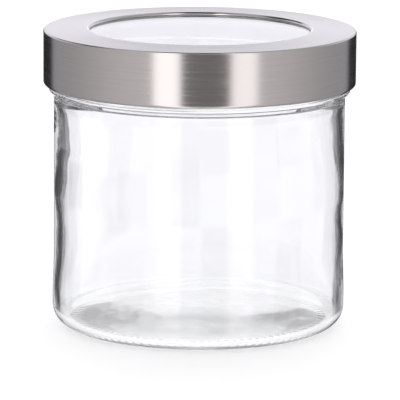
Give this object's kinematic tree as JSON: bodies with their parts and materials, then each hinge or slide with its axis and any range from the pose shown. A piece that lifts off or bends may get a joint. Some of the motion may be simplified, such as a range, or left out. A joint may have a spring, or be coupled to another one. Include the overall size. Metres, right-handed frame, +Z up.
{
  "type": "glass storage jar with screw lid",
  "caption": "Straight-sided clear glass jar for coffee or other dry food, closed by a screw-on stainless steel lid with a round clear window.",
  "frame": {"origin": "middle of the base, on the surface that the jar stands on", "axes": "+Z up along the jar's axis; +X and +Y lie on the standing surface, and the picture looks along +Y"},
  "size_m": [0.105, 0.105, 0.1008],
  "materials": {
    "jar_glass": "clear pressed glass, faintly wavy inside",
    "lid_steel": "satin stainless steel, brushed round the skirt",
    "window_pane": "clear and polished",
    "insert_plastic": "white moulded polypropylene",
    "soft_seal": "pale silicone"
  },
  "bodies": {
    "jar": {"glass_jar": "jar_glass"},
    "seal": {"lid_seal": "soft_seal"},
    "lid": {"lid_shell": "lid_steel", "lid_window": "window_pane", "window_gasket": "soft_seal", "lid_insert": "insert_plastic"}
  },
  "joints": [
    {"name": "lid_rise", "type": "slide", "parent": "jar", "child": "seal", "axis": [0, 0, 1], "range_m": [0, 0.02033]},
    {"name": "lid_turn", "type": "hinge", "parent": "seal", "child": "lid", "pos_m": [0, 0, 0.09385], "axis": [0, 0, 1], "range_deg": [0, 1440]}
  ],
  "couplings": [
    {"joint": "lid_rise", "follows": "lid_turn", "m_per_rad": 0.00080851}
  ]
}
